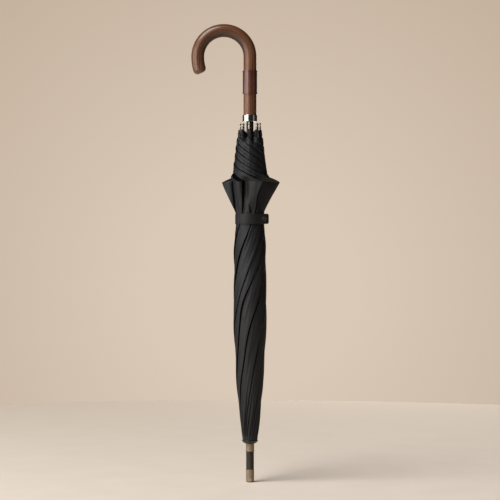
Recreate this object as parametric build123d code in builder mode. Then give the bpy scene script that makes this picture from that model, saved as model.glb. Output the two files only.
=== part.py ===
from build123d import *

import os
from math import cos, radians, sin

os.makedirs("parts", exist_ok=True)

# A closed stick umbrella standing on its ferrule, in millimetres.
# The origin is the centre of the ferrule's foot, +Z runs up the shaft to the
# handle, and the crook bends towards -X. Every rib lies in its own radial
# plane, where a point is (distance from the shaft's axis, height).

# Driving dimensions
total_height = 900.0
shaft_diameter = 14.0
handle_diameter = 25.5
crook_radius = 51.3
rib_count = 8
first_rib_azimuth = -94.0
open_angle = 70.0

# Fits
seat_gap = 0.05
slide_gap = 0.09
pivot_gap = 0.08

# Shaft
shaft_radius = shaft_diameter / 2
shaft_wall = 0.7
shaft_bottom = 10.2
shaft_top = 770.0
shaft_end_gap = 0.2
leaf_slot_depth = 4.0
leaf_slot_length = 18.0
seat_radius = shaft_radius + seat_gap

# Ferrule, from the foot up
tip_radius = 8.0
tip_height = 25.0
tip_rounding = 3.0
tip_top_rounding = 0.4
pin_height = 5.2
pin_radius = 1.5
pin_bore = 1.2
pin_back = 7.3
pin_front = 6.9
pin_head_radius = 2.8
pin_head_seat = 6.8
pin_head_height = 0.6
pin_head_rounding = 0.25
pin_bore_depth = 4.0
sleeve_radius = 7.7
sleeve_top = 61.0
spool_waist = 8.0
spool_flare = 8.6
spool_lip = 1.2
spool_taper = 2.4
spool_top = 76.0

# Cap and canopy crown
cap_rim_radius = 15.6
cap_rim_height = 82.8
cap_lip = 1.2
cap_lip_depth = 0.7
cap_wall = 1.0
cap_foot = 0.5
cap_belly_radius = 13.0
cap_belly_height = 77.7
cap_bead = 0.5
crown_clearance = 0.1
crown_bottom = 78.2
crown_bottom_radius = 8.0
crown_rim_radius = 13.6
crown_radius = 14.0
crown_top = 86.5

# Hinge rings: the notch is fixed, the runner's crown slides
ring_radius = 11.0
wire_radius = 0.6
eye_radius = 2.0
eye_bore = wire_radius + pivot_gap
blade_width = 1.6
ring_slot_width = 2.0
ring_slot_start = 8.6
ring_slot_length = 10.0
ring_slot_middle = ring_slot_start + ring_slot_length / 2
wire_groove = 1.4
groove_start = 10.25

# Notch
notch_height = 93.0
notch_radius = 13.5
notch_bottom = 87.0
notch_top = 96.5
notch_rounding = 1.0

# Rib and stretcher linkage, in the radial plane
joint_radius = 16.0
joint_height = notch_height + 265.0
runner_height = 2 * joint_height - notch_height

# Rib
rib_width = 3.4
rib_depth = 2.6
rib_web = 0.6
rib_wall = 0.6
rib_start = (11.6, 99.0)
rib_middle = (18.5, joint_height)
rib_end = (19.5, 692.0)
rib_solid_end = 9.0
rib_channel_end = 5.0
eye_blade_overlap = 1.0
spigot_root = 3.0
spigot_radius = 1.2
spigot_top = 698.0
lug_radius = 2.3
lug_backing = 2.4

# Rib tip
rib_tip_radius = 2.0
rib_tip_neck = 1.4
rib_tip_ball = 2.4
rib_tip_ball_height = 703.3
rib_tip_bottom = rib_end[1] + 0.3
rib_tip_socket_end = 0.2
rib_tip_shoulder = 0.8
rib_tip_neck_start = 2.0
sewing_hole = 0.5
sewing_hole_rise = 2.4

# Stretcher and its rivet
stretcher_depth = 2.2
stretcher_width = 3.0
stretcher_groove = 1.8
stretcher_groove_end = 4.0
stretcher_joint_blade = 12.0
stretcher_ring_blade = 16.0
rivet_radius = 0.8
rivet_press_gap = 0.02
rivet_head_radius = 1.4
rivet_head_height = 0.6
rivet_reach = rib_width / 2 + 0.1

# Runner
runner_bore = shaft_radius + slide_gap
runner_radius = 8.5
runner_crown_radius = 14.0
runner_crown_below = 3.5
runner_crown_above = 5.0
runner_tail = 45.0
runner_grip_radius = 10.6
runner_grip_height = 7.0
runner_grip_rounding = 1.2
runner_slot_above = 2.6
runner_window_height = 12.4
runner_window_drop = 5.7
runner_window_depth = 3.0
runner_window_gap = 0.2
open_runner_height = notch_height + 2 * (
    (joint_height - notch_height) * cos(radians(open_angle))
    - (joint_radius - ring_radius) * sin(radians(open_angle))
)

# Catches, one for each end of the runner's travel
catch_azimuth = -90.0
catch_width = 3.0
catch_leaf = (4.6, 5.6)
catch_nose = 9.8
catch_nose_height = 2.0
catch_ramp_end = 13.0
catch_length = 42.0
catch_slot_width = 3.6
catch_play = 0.4
open_catch_height = open_runner_height + runner_tail + catch_play
closed_catch_height = 654.4
open_slot_rise = 7.0
closed_slot_drop = 6.5
stop_pin_radius = 1.1
stop_pin_reach = 9.4
stop_pin_rounding = 0.4
stop_pin_height = open_runner_height - runner_crown_below - stop_pin_radius - catch_play

# Handle
collar_bottom = 708.0
collar_top = 721.0
collar_radius = 14.5
collar_floor = 1.4
collar_rounding = 0.7
handle_radius = handle_diameter / 2
handle_end_gap = 0.1
handle_bottom = collar_bottom + collar_floor + handle_end_gap
handle_bore_end = 2.0
handle_seat = handle_radius + seat_gap
crook_centre_height = total_height - handle_radius - crook_radius
nose_radius = 88.0
nose_sweep = 22.0
nose_rounding = 9.0
leather_bottom = 762.0
leather_top = 808.0
leather_radius = 14.2
leather_rim = 0.5
leather_rim_height = 2.2

# Canopy: the rolled cloth's outer profile as (radius, height), from the crown
# up to the hem. It has a waist under the strap and a flared skirt above it.
canopy_profile = [
    (16.4, 97.0),
    (21.2, 137.0),
    (25.9, 185.0),
    (29.4, 255.0),
    (33.0, 303.0),
    (32.7, 373.0),
    (31.4, 468.0),
    (28.0, 504.0),
    (28.0, 530.0),
    (44.0, 586.0),
    (43.0, 592.0),
    (33.7, 617.0),
    (29.8, 641.0),
    (22.8, 691.5),
]
canopy_thickness = 1.5
panel_sweep = 43.4
ear_turn = 4.0
ear_width = 3.0
ear_outline = [(35.6, 556.0), (55.5, 589.6), (43.0, 591.5)]

# Gore corners, the strip of hem beside each rib that reaches the next rib
corner_radius = 18.2
corner_start = 2.2
corner_width = 6.0
corner_thickness = 0.8
corner_bottom = 640.0
corner_top = 688.0

# Tie strap
strap_bottom = 507.0
strap_top = 527.0
strap_radius = 28.5
strap_thickness = 0.8
strap_hinge_azimuth = -133.0
strap_under_azimuth = -45.0
flap_radius = 29.7
flap_leave_azimuth = -60.0
flap_tail = 25.0
flap_rounding = 3.0
strap_fold_gap = 1.0
button_along = 14.4
button_radius = 4.9
button_height = 1.8
button_rounding = 1.1
button_stud_radius = 1.6
button_stud_reach = 3.2


def radial_plane(azimuth):
    """The plane through the shaft's axis at an azimuth: x is outwards, y is up."""
    outwards = (cos(radians(azimuth)), sin(radians(azimuth)), 0)
    across = (sin(radians(azimuth)), -cos(radians(azimuth)), 0)
    return Plane(origin=(0, 0, 0), x_dir=outwards, z_dir=across)


def polar_point(radius, azimuth):
    """A point of the plan view."""
    return (radius * cos(radians(azimuth)), radius * sin(radians(azimuth)))


rib_azimuths = [first_rib_azimuth + 360 / rib_count * turn for turn in range(rib_count)]

# Shaft: a thin steel tube with a slot for each catch and holes for the stop pin
with BuildPart() as shaft_tube:
    with BuildSketch(Plane.XY.offset(shaft_bottom)):
        Circle(shaft_radius)
        Circle(shaft_radius - shaft_wall, mode=Mode.SUBTRACT)
    extrude(amount=shaft_top - shaft_bottom)
    with BuildSketch(radial_plane(catch_azimuth)):
        with Locations(
            (shaft_radius, open_catch_height + open_slot_rise),
            (shaft_radius, closed_catch_height - closed_slot_drop),
        ):
            Rectangle(leaf_slot_depth, leaf_slot_length)
    extrude(amount=catch_slot_width / 2, both=True, mode=Mode.SUBTRACT)
    with BuildSketch(Plane.YZ):
        with Locations((0, stop_pin_height)):
            Circle(stop_pin_radius + seat_gap)
    extrude(amount=shaft_diameter, both=True, mode=Mode.SUBTRACT)
shaft_tube.part.label = "shaft_tube"
export_step(shaft_tube.part, "parts/shaft_tube.step")

# Ferrule tip: a solid round foot with a blind seat for the shaft
with BuildPart() as ferrule_tip:
    with BuildSketch(Plane.XY):
        Circle(tip_radius)
    extrude(amount=tip_height)
    fillet(ferrule_tip.edges().group_by(Axis.Z)[0], radius=tip_rounding)
    fillet(ferrule_tip.edges().group_by(Axis.Z)[-1], radius=tip_top_rounding)
    with BuildSketch(Plane.XY.offset(shaft_bottom - shaft_end_gap)):
        Circle(seat_radius)
    extrude(amount=tip_height, mode=Mode.SUBTRACT)
    with BuildSketch(Plane.XZ):
        with Locations((0, pin_height)):
            Circle(pin_radius + seat_gap)
    extrude(amount=2 * tip_radius, both=True, mode=Mode.SUBTRACT)
    with BuildSketch(Plane.XZ.offset(pin_head_seat)):
        with Locations((0, pin_height)):
            Circle(pin_head_radius + seat_gap)
    extrude(amount=tip_radius, mode=Mode.SUBTRACT)
ferrule_tip.part.label = "ferrule_tip"
export_step(ferrule_tip.part, "parts/ferrule_tip.step")

# Ferrule pin: a tubular rivet through the foot, its ringed head to the front
with BuildPart() as ferrule_pin:
    with BuildSketch(Plane.XZ.offset(-pin_back)):
        with Locations((0, pin_height)):
            Circle(pin_radius)
    extrude(amount=pin_back + pin_front)
    with BuildSketch(Plane.XZ.offset(pin_head_seat + seat_gap)):
        with Locations((0, pin_height)):
            Circle(pin_head_radius)
    extrude(amount=pin_head_height)
    fillet(ferrule_pin.edges().group_by(Axis.Y)[0], radius=pin_head_rounding)
    with BuildSketch(Plane.XZ.offset(tip_radius - pin_bore_depth)):
        with Locations((0, pin_height)):
            Circle(pin_bore)
    extrude(amount=pin_bore_depth, mode=Mode.SUBTRACT)
ferrule_pin.part.label = "ferrule_pin"
export_step(ferrule_pin.part, "parts/ferrule_pin.step")

# Ferrule sleeve: turned wood between the tip and the collar
with BuildPart() as ferrule_sleeve:
    with BuildSketch(Plane.XY.offset(tip_height)):
        Circle(sleeve_radius)
        Circle(seat_radius, mode=Mode.SUBTRACT)
    extrude(amount=sleeve_top - tip_height)
ferrule_sleeve.part.label = "ferrule_sleeve"
export_step(ferrule_sleeve.part, "parts/ferrule_sleeve.step")

# Ferrule collar: a waisted brass spool, flared at both ends
with BuildPart() as ferrule_collar:
    with BuildSketch(Plane.XZ):
        with BuildLine():
            Polyline(
                (seat_radius, spool_top),
                (seat_radius, sleeve_top),
                (spool_flare, sleeve_top),
                (spool_flare, sleeve_top + spool_lip),
                (spool_waist, sleeve_top + spool_taper),
                (spool_waist, spool_top - spool_taper),
                (spool_flare, spool_top - spool_lip),
                (spool_flare, spool_top),
                close=True,
            )
        make_face()
    revolve(axis=Axis.Z)
ferrule_collar.part.label = "ferrule_collar"
export_step(ferrule_collar.part, "parts/ferrule_collar.step")

# Canopy cap: a round-bellied cup with a beaded rim that holds the cloth's gathered crown
with BuildPart() as canopy_cap:
    with BuildSketch(Plane.XZ):
        with BuildLine():
            Polyline(
                (cap_rim_radius, cap_rim_height),
                (cap_rim_radius - cap_wall, cap_rim_height),
                (cap_rim_radius - cap_wall - cap_foot / 2, cap_rim_height - cap_lip_depth),
                (spool_flare - cap_foot, spool_top + cap_wall),
                (seat_radius, spool_top + cap_wall),
                (seat_radius, spool_top),
                (spool_flare, spool_top),
            )
            ThreePointArc(
                (spool_flare, spool_top),
                (cap_belly_radius, cap_belly_height),
                (cap_rim_radius, cap_rim_height - cap_lip),
            )
            ThreePointArc(
                (cap_rim_radius, cap_rim_height - cap_lip),
                (cap_rim_radius + cap_bead, cap_rim_height - cap_lip / 2),
                (cap_rim_radius, cap_rim_height),
            )
        make_face()
    revolve(axis=Axis.Z)
canopy_cap.part.label = "canopy_cap"
export_step(canopy_cap.part, "parts/canopy_cap.step")

# Canopy crown: the gathered centre of the cloth, pinched between cap and notch
with BuildPart() as canopy_crown:
    with BuildSketch(Plane.XZ):
        with BuildLine():
            Polyline(
                (seat_radius + crown_clearance, crown_bottom),
                (crown_bottom_radius, crown_bottom),
                (crown_rim_radius, cap_rim_height),
                (crown_radius, crown_top),
                (seat_radius + crown_clearance, crown_top),
                close=True,
            )
        make_face()
    revolve(axis=Axis.Z)
canopy_crown.part.label = "canopy_crown"
export_step(canopy_crown.part, "parts/canopy_crown.step")

# Notch: the fixed ring that the ribs hinge on, slotted once for each rib
with BuildPart() as notch:
    with BuildSketch(Plane.XY.offset(notch_bottom)):
        Circle(notch_radius)
        Circle(seat_radius, mode=Mode.SUBTRACT)
    extrude(amount=notch_top - notch_bottom)
    fillet(notch.edges().group_by(Axis.Z)[0].sort_by(SortBy.LENGTH)[-1], radius=notch_rounding)
    with BuildSketch(Plane.XY.offset(notch_bottom)):
        with PolarLocations(ring_slot_middle, rib_count, start_angle=first_rib_azimuth):
            Rectangle(ring_slot_length, ring_slot_width)
    extrude(amount=notch_top - notch_bottom, mode=Mode.SUBTRACT)
    with BuildSketch(Plane.XY.offset(notch_height - wire_groove / 2)):
        Circle(notch_radius + 1)
        Circle(groove_start, mode=Mode.SUBTRACT)
    extrude(amount=wire_groove, mode=Mode.SUBTRACT)
notch.part.label = "notch"
export_step(notch.part, "parts/notch.step")

# Notch wire: the closed ring of wire that all the rib eyes turn on
with BuildPart() as notch_wire:
    with BuildSketch(Plane.XZ):
        with Locations((ring_radius, notch_height)):
            Circle(wire_radius)
    revolve(axis=Axis.Z)
notch_wire.part.label = "notch_wire"
export_step(notch_wire.part, "parts/notch_wire.step")

# Stop pin: it ends the runner's travel when the umbrella is open
with BuildPart() as runner_stop_pin:
    with BuildSketch(Plane.YZ.offset(-stop_pin_reach)):
        with Locations((0, stop_pin_height)):
            Circle(stop_pin_radius)
    extrude(amount=2 * stop_pin_reach)
    fillet(runner_stop_pin.edges().filter_by(GeomType.CIRCLE), radius=stop_pin_rounding)
runner_stop_pin.part.label = "runner_stop_pin"
export_step(runner_stop_pin.part, "parts/runner_stop_pin.step")

# Top catch: a leaf in the shaft whose nose holds the open runner down. Its
# anchored end is above the nose.
with BuildPart() as top_catch:
    with BuildSketch(radial_plane(catch_azimuth)):
        with BuildLine():
            Polyline(
                (catch_leaf[0], open_catch_height),
                (catch_nose, open_catch_height),
                (catch_nose, open_catch_height + catch_nose_height),
                (catch_leaf[1], open_catch_height + catch_ramp_end),
                (catch_leaf[1], open_catch_height + catch_length),
                (catch_leaf[0], open_catch_height + catch_length),
                close=True,
            )
        make_face()
    extrude(amount=catch_width / 2, both=True)
top_catch.part.label = "top_catch"
export_step(top_catch.part, "parts/top_catch.step")

# Bottom catch: the same leaf upside down, its nose in the closed runner's window
with BuildPart() as bottom_catch:
    with BuildSketch(radial_plane(catch_azimuth)):
        with BuildLine():
            Polyline(
                (catch_leaf[0], closed_catch_height),
                (catch_nose, closed_catch_height),
                (catch_nose, closed_catch_height - catch_nose_height),
                (catch_leaf[1], closed_catch_height - catch_ramp_end),
                (catch_leaf[1], closed_catch_height - catch_length),
                (catch_leaf[0], closed_catch_height - catch_length),
                close=True,
            )
        make_face()
    extrude(amount=catch_width / 2, both=True)
bottom_catch.part.label = "bottom_catch"
export_step(bottom_catch.part, "parts/bottom_catch.step")

# Runner: slotted crown for the stretchers, a tube with the catch's window, a grip
runner_bottom = runner_height - runner_crown_below
with BuildPart() as runner:
    with BuildSketch(Plane.XY.offset(runner_bottom)):
        Circle(runner_radius)
    extrude(amount=runner_crown_below + runner_tail)
    with BuildSketch(Plane.XY.offset(runner_bottom)):
        Circle(runner_crown_radius)
    extrude(amount=runner_crown_below + runner_crown_above)
    with BuildSketch(Plane.XY.offset(runner_height + runner_tail - runner_grip_height)):
        Circle(runner_grip_radius)
    extrude(amount=runner_grip_height)
    fillet(runner.edges().group_by(Axis.Z)[-1], radius=runner_grip_rounding)
    with BuildSketch(Plane.XY.offset(runner_bottom)):
        Circle(runner_bore)
    extrude(amount=runner_crown_below + runner_tail, mode=Mode.SUBTRACT)
    with BuildSketch(Plane.XY.offset(runner_bottom)):
        with PolarLocations(ring_slot_middle, rib_count, start_angle=first_rib_azimuth):
            Rectangle(ring_slot_length, ring_slot_width)
    extrude(amount=runner_crown_below + runner_slot_above, mode=Mode.SUBTRACT)
    with BuildSketch(Plane.XY.offset(runner_height - wire_groove / 2)):
        Circle(runner_crown_radius + 1)
        Circle(groove_start, mode=Mode.SUBTRACT)
    extrude(amount=wire_groove, mode=Mode.SUBTRACT)
    with BuildSketch(radial_plane(catch_azimuth)):
        with Locations((runner_radius, closed_catch_height - runner_window_drop)):
            Rectangle(2 * runner_window_depth, runner_window_height)
    extrude(amount=catch_slot_width / 2 + runner_window_gap, both=True, mode=Mode.SUBTRACT)
runner.part.label = "runner"
export_step(runner.part, "parts/runner.step")

# Runner wire: the ring that the stretchers' inner ends turn on
with BuildPart() as runner_wire:
    with BuildSketch(Plane.XZ):
        with Locations((ring_radius, runner_height)):
            Circle(wire_radius)
    revolve(axis=Axis.Z)
runner_wire.part.label = "runner_wire"
export_step(runner_wire.part, "parts/runner_wire.step")


def make_rib(azimuth):
    """A bowed U-channel, open to the shaft, with a flat eye, two lugs and a spigot."""
    side = radial_plane(azimuth)
    depth = rib_depth / 2
    with BuildPart() as rib:
        with BuildSketch(side):
            with BuildLine():
                back = ThreePointArc(
                    (rib_start[0] + depth, rib_start[1]),
                    (rib_middle[0] + depth, rib_middle[1]),
                    (rib_end[0] + depth, rib_end[1]),
                )
                front = ThreePointArc(
                    (rib_start[0] - depth, rib_start[1]),
                    (rib_middle[0] - depth, rib_middle[1]),
                    (rib_end[0] - depth, rib_end[1]),
                )
                Line(front @ 0, back @ 0)
                Line(back @ 1, front @ 1)
            make_face()
            with Locations((joint_radius, joint_height)):
                Circle(lug_radius)
            with Locations((joint_radius + lug_backing / 2, joint_height)):
                Rectangle(lug_backing, 2 * lug_radius)
        extrude(amount=rib_width / 2, both=True)
        with BuildSketch(side):
            with BuildLine():
                floor_arc = ThreePointArc(
                    (rib_start[0] + depth - rib_web, rib_start[1] + rib_solid_end),
                    (rib_middle[0] + depth - rib_web, rib_middle[1]),
                    (rib_end[0] + depth - rib_web, rib_end[1] - rib_channel_end),
                )
                Polyline(
                    floor_arc @ 1,
                    (rib_start[0] - depth, rib_end[1] - rib_channel_end),
                    (rib_start[0] - depth, rib_start[1] + rib_solid_end),
                    floor_arc @ 0,
                )
            make_face()
        extrude(amount=rib_width / 2 - rib_wall, both=True, mode=Mode.SUBTRACT)
        with BuildSketch(side):
            with Locations((ring_radius, notch_height)):
                Circle(eye_radius)
            with BuildLine():
                Polyline(
                    (ring_radius - depth, notch_height),
                    (ring_radius + depth, notch_height),
                    (rib_start[0] + depth, rib_start[1] + eye_blade_overlap),
                    (rib_start[0] - depth, rib_start[1] + eye_blade_overlap),
                    close=True,
                )
            make_face()
        extrude(amount=blade_width / 2, both=True)
        with BuildSketch(side):
            with Locations((ring_radius, notch_height)):
                Circle(eye_bore)
            with Locations((joint_radius, joint_height)):
                Circle(rivet_radius + pivot_gap)
        extrude(amount=rib_width, both=True, mode=Mode.SUBTRACT)
        with BuildSketch(Plane.XY.offset(rib_end[1] - spigot_root)):
            with Locations(polar_point(rib_end[0], azimuth)):
                Circle(spigot_radius)
        extrude(amount=spigot_top - rib_end[1] + spigot_root)
    return rib


def make_rib_tip(azimuth):
    """A turned cap on the rib's spigot: socket, neck with a sewing hole, ball."""
    side = radial_plane(azimuth)
    middle = rib_end[0]
    bore = spigot_radius + seat_gap
    socket_end = spigot_top + rib_tip_socket_end
    drop = (rib_tip_ball**2 - rib_tip_neck**2) ** 0.5
    x, y = polar_point(middle, azimuth)
    with BuildPart() as rib_tip:
        with BuildSketch(side):
            with BuildLine():
                Polyline(
                    (middle, socket_end),
                    (middle + bore, socket_end),
                    (middle + bore, rib_tip_bottom),
                    (middle + rib_tip_radius, rib_tip_bottom),
                    (middle + rib_tip_radius, spigot_top + rib_tip_shoulder),
                    (middle + rib_tip_neck, spigot_top + rib_tip_neck_start),
                    (middle + rib_tip_neck, rib_tip_ball_height - drop),
                )
                ThreePointArc(
                    (middle + rib_tip_neck, rib_tip_ball_height - drop),
                    (middle + rib_tip_ball, rib_tip_ball_height),
                    (middle, rib_tip_ball_height + rib_tip_ball),
                )
                Line(
                    (middle, rib_tip_ball_height + rib_tip_ball),
                    (middle, socket_end),
                )
            make_face()
        revolve(axis=Axis((x, y, 0), (0, 0, 1)))
        with BuildSketch(side):
            with Locations((middle, spigot_top + sewing_hole_rise)):
                Circle(sewing_hole)
        extrude(amount=rib_width, both=True, mode=Mode.SUBTRACT)
    return rib_tip


def make_stretcher(azimuth):
    """A folded strut from the rib's lugs to the runner, with its rivet in place."""
    side = radial_plane(azimuth)
    lean = (ring_radius - joint_radius) / (runner_height - joint_height)

    def band(low, high, inner, outer):
        """A strip along the strut, from low to high, between two offsets."""
        foot = joint_radius + lean * (low - joint_height)
        head = joint_radius + lean * (high - joint_height)
        Polyline(
            (foot + inner, low),
            (foot + outer, low),
            (head + outer, high),
            (head + inner, high),
            close=True,
        )

    half = stretcher_depth / 2
    low = joint_height + stretcher_joint_blade
    high = runner_height - stretcher_ring_blade
    with BuildPart() as stretcher:
        with BuildSketch(side):
            with BuildLine():
                band(joint_height, runner_height, -half, half)
            make_face()
            with Locations((joint_radius, joint_height), (ring_radius, runner_height)):
                Circle(eye_radius)
        extrude(amount=blade_width / 2, both=True)
        with BuildSketch(side):
            with BuildLine():
                band(low, high, -half, half)
            make_face()
        extrude(amount=stretcher_width / 2, both=True)
        with BuildSketch(side):
            with BuildLine():
                band(
                    low + stretcher_groove_end,
                    high - stretcher_groove_end,
                    -half + rib_web,
                    2 * half,
                )
            make_face()
        extrude(amount=stretcher_groove / 2, both=True, mode=Mode.SUBTRACT)
        with BuildSketch(side):
            with Locations((ring_radius, runner_height)):
                Circle(eye_bore)
            with Locations((joint_radius, joint_height)):
                Circle(rivet_radius + rivet_press_gap)
        extrude(amount=rib_width, both=True, mode=Mode.SUBTRACT)
        with BuildSketch(side):
            with Locations((joint_radius, joint_height)):
                Circle(rivet_radius)
        extrude(amount=rivet_reach, both=True)
        for way in (1, -1):
            with BuildSketch(side.offset(way * rivet_reach)):
                with Locations((joint_radius, joint_height)):
                    Circle(rivet_head_radius)
            extrude(amount=way * rivet_head_height)
    return stretcher


def make_canopy_panel(azimuth):
    """One sector of the rolled cloth, outside its rib, with a hem ear on the skirt."""
    inside = [(radius - canopy_thickness, height) for radius, height in canopy_profile]
    with BuildPart() as canopy_panel:
        with BuildSketch(radial_plane(azimuth - panel_sweep / 2)):
            with BuildLine():
                Polyline(*canopy_profile, *reversed(inside), close=True)
            make_face()
        revolve(axis=Axis.Z, revolution_arc=panel_sweep)
        with BuildSketch(radial_plane(azimuth + ear_turn)):
            with BuildLine():
                Polyline(*ear_outline, close=True)
            make_face()
        extrude(amount=ear_width / 2, both=True)
    return canopy_panel


def make_gore_corner(azimuth):
    """The strip of hem beside a rib that ends up at the next rib's tip."""
    side = radial_plane(azimuth)
    with BuildPart() as gore_corner:
        with BuildSketch(side.offset(-corner_start)):
            with Locations((corner_radius, (corner_bottom + corner_top) / 2)):
                Rectangle(corner_thickness, corner_top - corner_bottom)
        extrude(amount=-corner_width)
    return gore_corner


for number, azimuth in enumerate(rib_azimuths, start=1):
    rib = make_rib(azimuth)
    rib.part.label = f"rib_{number}"
    export_step(rib.part, f"parts/rib_{number}.step")
    rib_tip = make_rib_tip(azimuth)
    rib_tip.part.label = f"rib_tip_{number}"
    export_step(rib_tip.part, f"parts/rib_tip_{number}.step")
    stretcher = make_stretcher(azimuth)
    stretcher.part.label = f"stretcher_{number}"
    export_step(stretcher.part, f"parts/stretcher_{number}.step")
    canopy_panel = make_canopy_panel(azimuth)
    canopy_panel.part.label = f"canopy_panel_{number}"
    export_step(canopy_panel.part, f"parts/canopy_panel_{number}.step")
    gore_corner = make_gore_corner(azimuth)
    gore_corner.part.label = f"gore_corner_{number}"
    export_step(gore_corner.part, f"parts/gore_corner_{number}.step")

# Tie strap: the part that stays on the roll, from its hinge round the back and
# under the button
with BuildPart() as tie_strap:
    with BuildSketch(radial_plane(strap_under_azimuth)):
        with Locations((strap_radius + strap_thickness / 2, (strap_bottom + strap_top) / 2)):
            Rectangle(strap_thickness, strap_top - strap_bottom)
    revolve(axis=Axis.Z, revolution_arc=360 + strap_hinge_azimuth - strap_fold_gap - strap_under_azimuth)
tie_strap.part.label = "tie_strap"
export_step(tie_strap.part, "parts/tie_strap.step")

# Strap flap: wraps the front and leaves the roll in a straight tail
leave = polar_point(flap_radius, flap_leave_azimuth)
button_plane = Plane(
    origin=(*leave, (strap_bottom + strap_top) / 2),
    x_dir=(*polar_point(1, flap_leave_azimuth + 90), 0),
    z_dir=(*polar_point(1, flap_leave_azimuth), 0),
)
with BuildPart() as strap_flap:
    with BuildSketch(radial_plane(strap_hinge_azimuth + strap_fold_gap / 2)):
        with Locations((flap_radius + strap_thickness / 2, (strap_bottom + strap_top) / 2)):
            Rectangle(strap_thickness, strap_top - strap_bottom)
    revolve(axis=Axis.Z, revolution_arc=flap_leave_azimuth - strap_hinge_azimuth - strap_fold_gap / 2)
    with BuildSketch(button_plane):
        with Locations((flap_tail / 2, 0)):
            Rectangle(flap_tail, strap_top - strap_bottom)
    extrude(amount=strap_thickness)
    fillet(strap_flap.edges().filter_by(Axis(leave, button_plane.z_dir)).group_by(Axis.X)[-1], flap_rounding)
    with BuildSketch(button_plane):
        with Locations((button_along, 0)):
            Circle(button_stud_radius + seat_gap)
    extrude(amount=strap_thickness, mode=Mode.SUBTRACT)
strap_flap.part.label = "strap_flap"
export_step(strap_flap.part, "parts/strap_flap.step")

# Strap button: a domed cap outside, a stud through the flap down to the strap
with BuildPart() as strap_button:
    with BuildSketch(button_plane.offset(strap_thickness)):
        with Locations((button_along, 0)):
            Circle(button_radius)
    extrude(amount=button_height)
    fillet(strap_button.edges().sort_by(Axis((0, 0, 0), button_plane.z_dir))[-1], radius=button_rounding)
    with BuildSketch(button_plane.offset(-button_stud_reach)):
        with Locations((button_along, 0)):
            Circle(button_stud_radius)
    extrude(amount=button_stud_reach + strap_thickness)
strap_button.part.label = "strap_button"
export_step(strap_button.part, "parts/strap_button.step")

# Crook handle: one bent rod, bored for the shaft, its nose well rounded
with BuildPart() as crook_handle:
    with BuildLine(Plane.XZ) as crook_path:
        Line((0, handle_bottom), (0, crook_centre_height))
        CenterArc((-crook_radius, crook_centre_height), crook_radius, 0, 180)
        CenterArc(
            (nose_radius - 2 * crook_radius, crook_centre_height),
            nose_radius,
            180,
            nose_sweep,
        )
    with BuildSketch(Plane.XY.offset(handle_bottom)):
        Circle(handle_radius)
    sweep()
    nose_face = crook_handle.faces().filter_by(GeomType.PLANE).sort_by(Axis.X)[0]
    fillet(nose_face.edges(), radius=nose_rounding)
    with BuildSketch(Plane.XY.offset(handle_bottom)):
        Circle(seat_radius)
    extrude(amount=shaft_top + handle_bore_end - handle_bottom, mode=Mode.SUBTRACT)
crook_handle.part.label = "crook_handle"
export_step(crook_handle.part, "parts/crook_handle.step")

# Handle sleeve: a leather band with a raised rim at each end
with BuildPart() as handle_sleeve:
    with BuildSketch(Plane.XY.offset(leather_bottom)):
        Circle(leather_radius)
    extrude(amount=leather_top - leather_bottom)
    for rim_bottom in (leather_bottom, leather_top - leather_rim_height):
        with BuildSketch(Plane.XY.offset(rim_bottom)):
            Circle(leather_radius + leather_rim)
        extrude(amount=leather_rim_height)
    with BuildSketch(Plane.XY.offset(leather_bottom)):
        Circle(handle_seat)
    extrude(amount=leather_top - leather_bottom, mode=Mode.SUBTRACT)
handle_sleeve.part.label = "handle_sleeve"
export_step(handle_sleeve.part, "parts/handle_sleeve.step")

# Handle collar: a polished cup over the handle's lower end
with BuildPart() as handle_collar:
    with BuildSketch(Plane.XY.offset(collar_bottom)):
        Circle(collar_radius)
    extrude(amount=collar_top - collar_bottom)
    fillet(handle_collar.edges(), radius=collar_rounding)
    with BuildSketch(Plane.XY.offset(collar_bottom)):
        Circle(seat_radius)
    extrude(amount=collar_floor, mode=Mode.SUBTRACT)
    with BuildSketch(Plane.XY.offset(collar_bottom + collar_floor)):
        Circle(handle_seat)
    extrude(amount=collar_top - collar_bottom, mode=Mode.SUBTRACT)
handle_collar.part.label = "handle_collar"
export_step(handle_collar.part, "parts/handle_collar.step")
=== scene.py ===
import math

import bpy
import numpy as np
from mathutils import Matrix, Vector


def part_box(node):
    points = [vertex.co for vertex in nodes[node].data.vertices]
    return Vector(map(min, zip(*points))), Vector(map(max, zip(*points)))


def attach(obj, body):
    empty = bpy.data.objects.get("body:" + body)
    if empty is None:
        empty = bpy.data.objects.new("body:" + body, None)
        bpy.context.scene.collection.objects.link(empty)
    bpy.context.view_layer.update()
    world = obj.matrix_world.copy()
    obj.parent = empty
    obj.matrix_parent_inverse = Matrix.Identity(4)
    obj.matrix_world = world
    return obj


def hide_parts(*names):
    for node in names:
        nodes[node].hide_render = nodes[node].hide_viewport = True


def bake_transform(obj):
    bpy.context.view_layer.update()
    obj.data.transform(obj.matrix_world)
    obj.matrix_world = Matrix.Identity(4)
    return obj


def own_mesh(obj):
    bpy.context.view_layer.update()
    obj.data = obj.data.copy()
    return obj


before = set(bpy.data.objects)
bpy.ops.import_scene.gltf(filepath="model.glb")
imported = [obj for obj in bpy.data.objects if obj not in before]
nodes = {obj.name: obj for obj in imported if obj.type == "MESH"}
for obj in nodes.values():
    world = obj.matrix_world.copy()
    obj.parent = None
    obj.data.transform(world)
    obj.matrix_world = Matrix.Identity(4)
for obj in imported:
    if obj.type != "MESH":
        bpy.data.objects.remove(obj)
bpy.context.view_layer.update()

# Lengths in the cloth's shape functions are millimetres and angles are degrees. MM turns
# lengths into the frame's metres.
MM = 0.001
RIBS = 8
RIB_STEP = 360 / RIBS
FIRST_RIB = -94.0
OPEN_ANGLE = math.radians(70.0)

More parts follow.
